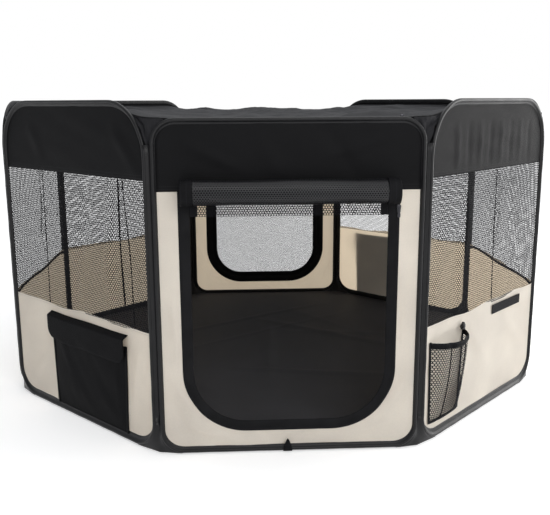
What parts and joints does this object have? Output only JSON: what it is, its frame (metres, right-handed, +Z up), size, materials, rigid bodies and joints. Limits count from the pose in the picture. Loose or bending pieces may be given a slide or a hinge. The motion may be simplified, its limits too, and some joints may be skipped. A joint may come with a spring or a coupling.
{
  "type": "pet playpen",
  "caption": "Soft-sided folding playpen for pets: a ring of wire-hooped cloth and mesh panels with two zip doors, a zip-off top, a floor mat and outside pockets.",
  "frame": {"origin": "middle of the underside of the whole part's box, on the floor", "axes": "+Z up, -Y towards the front door, +X to the right as seen from the front"},
  "size_m": [1.1788, 1.2226, 0.64],
  "materials": {
    "spring_steel": "satin",
    "black_binding": "woven tape",
    "black_cloth": "woven",
    "beige_cloth": "woven",
    "black_mesh": "open mesh",
    "zip_tape": "woven tape",
    "mat_cloth": "woven",
    "grey_cloth": "crinkled",
    "hook_and_loop": "napped",
    "slider_metal": "satin",
    "lock_plastic": "satin"
  },
  "bodies": {
    "front_panel": {"front_hoop": "spring_steel", "front_binding": "black_binding", "front_header": "black_cloth", "front_skirt": "beige_cloth", "front_zip_border": "zip_tape", "front_door_curtain": "black_mesh", "pull_tab": "black_binding", "floor_mat": "mat_cloth"},
    "left_front_panel": {"left_front_hoop": "spring_steel", "left_front_binding": "black_binding", "left_front_header": "black_cloth", "left_front_skirt": "beige_cloth", "left_front_window": "black_mesh", "left_front_pocket": "black_cloth"},
    "left_middle_panel": {"left_middle_hoop": "spring_steel", "left_middle_binding": "black_binding", "left_middle_header": "black_cloth", "left_middle_skirt": "beige_cloth", "left_middle_window": "black_mesh"},
    "left_back_panel": {"left_back_hoop": "spring_steel", "left_back_binding": "black_binding", "left_back_header": "black_cloth", "left_back_skirt": "beige_cloth", "left_back_window": "black_mesh"},
    "back_panel": {"back_hoop": "spring_steel", "back_binding": "black_binding", "back_header": "black_cloth", "back_skirt": "beige_cloth", "back_zip_border": "zip_tape", "back_door_mesh": "black_mesh", "back_door_edging": "black_binding"},
    "right_front_panel": {"right_front_hoop": "spring_steel", "right_front_binding": "black_binding", "right_front_header": "black_cloth", "right_front_skirt": "beige_cloth", "right_front_window": "black_mesh", "bottle_pocket": "black_mesh", "bottle_pocket_mouth": "black_binding", "hook_strip": "hook_and_loop"},
    "right_middle_panel": {"right_middle_hoop": "spring_steel", "right_middle_binding": "black_binding", "right_middle_header": "black_cloth", "right_middle_skirt": "beige_cloth", "right_middle_window": "black_mesh"},
    "right_back_panel": {"right_back_hoop": "spring_steel", "right_back_binding": "black_binding", "right_back_header": "black_cloth", "right_back_skirt": "beige_cloth", "right_back_window": "black_mesh", "right_back_pocket": "black_cloth"},
    "front_roll": {"front_door_roll": "black_mesh"},
    "front_slider": {"front_zip_slider": "slider_metal"},
    "back_slider": {"back_zip_slider": "slider_metal"},
    "top": {"top_cover": "grey_cloth", "top_cover_zip": "zip_tape"},
    "top_slider": {"top_cover_slider": "slider_metal"},
    "left_flap": {"left_front_pocket_flap": "black_cloth"},
    "right_flap": {"right_back_pocket_flap": "black_cloth"},
    "lock": {"cord_lock": "lock_plastic"},
    "button": {"cord_lock_button": "lock_plastic"}
  },
  "joints": [
    {"name": "left_front_fold", "type": "hinge", "parent": "front_panel", "child": "left_front_panel", "pos_m": [-0.24, -0.55751, 0.3], "axis": [0, 0, 1], "range_deg": [0, 44], "deforming": ["top_cover", "top_cover_zip", "floor_mat"]},
    {"name": "left_middle_fold", "type": "hinge", "parent": "left_front_panel", "child": "left_middle_panel", "pos_m": [-0.57941, -0.2181, 0.3], "axis": [0, 0, 1], "range_deg": [0, 44]},
    {"name": "left_back_fold", "type": "hinge", "parent": "left_middle_panel", "child": "left_back_panel", "pos_m": [-0.57941, 0.2619, 0.3], "axis": [0, 0, 1], "range_deg": [-132, 0]},
    {"name": "back_fold", "type": "hinge", "parent": "left_back_panel", "child": "back_panel", "pos_m": [-0.24, 0.60131, 0.3], "axis": [0, 0, 1], "range_deg": [0, 44]},
    {"name": "right_front_fold", "type": "hinge", "parent": "front_panel", "child": "right_front_panel", "pos_m": [0.24, -0.55751, 0.3], "axis": [0, 0, 1], "range_deg": [-44, 0]},
    {"name": "right_middle_fold", "type": "hinge", "parent": "right_front_panel", "child": "right_middle_panel", "pos_m": [0.57941, -0.2181, 0.3], "axis": [0, 0, 1], "range_deg": [0, 132]},
    {"name": "right_back_fold", "type": "hinge", "parent": "right_middle_panel", "child": "right_back_panel", "pos_m": [0.57941, 0.2619, 0.3], "axis": [0, 0, 1], "range_deg": [-44, 0]},
    {"name": "front_door_unroll", "type": "slide", "parent": "front_panel", "child": "front_roll", "axis": [0, 0, -1], "range_m": [0, 0.372], "deforming": ["front_door_curtain"]},
    {"name": "front_zip_slide", "type": "slide", "parent": "front_panel", "child": "front_slider", "axis": [0, 0, -1], "range_m": [0, 0.279]},
    {"name": "back_zip_slide", "type": "slide", "parent": "back_panel", "child": "back_slider", "axis": [0, 0, -1], "range_m": [0, 0.279]},
    {"name": "top_lift", "type": "slide", "parent": "front_panel", "child": "top", "axis": [0, 0, 1], "range_m": [0, 0.2]},
    {"name": "top_zip_slide", "type": "slide", "parent": "top", "child": "top_slider", "axis": [-1, 0, 0], "range_m": [0, 0.388]},
    {"name": "left_pocket_flap_lift", "type": "hinge", "parent": "left_front_panel", "child": "left_flap", "pos_m": [-0.4142, -0.40644, 0.2105], "axis": [-0.7071, 0.7071, 0], "range_deg": [0, 150]},
    {"name": "right_pocket_flap_lift", "type": "hinge", "parent": "right_back_panel", "child": "right_flap", "pos_m": [0.4142, 0.45024, 0.2105], "axis": [0.7071, -0.7071, 0], "range_deg": [0, 150]},
    {"name": "cord_lock_slide", "type": "slide", "parent": "right_front_panel", "child": "lock", "axis": [0, 0, 1], "range_m": [0, 0.012]},
    {"name": "cord_lock_press", "type": "slide", "parent": "lock", "child": "button", "axis": [0, 0, -1], "range_m": [0, 0.0024], "stiffness_N_per_m": 300, "springref_m": -0.001}
  ],
  "couplings": [
    {"joint": "left_middle_fold", "follows": "left_front_fold", "ratio": 1},
    {"joint": "left_back_fold", "follows": "left_front_fold", "ratio": -3},
    {"joint": "back_fold", "follows": "left_front_fold", "ratio": 1},
    {"joint": "right_front_fold", "follows": "left_front_fold", "ratio": -1},
    {"joint": "right_middle_fold", "follows": "left_front_fold", "ratio": 3},
    {"joint": "right_back_fold", "follows": "left_front_fold", "ratio": -1}
  ]
}
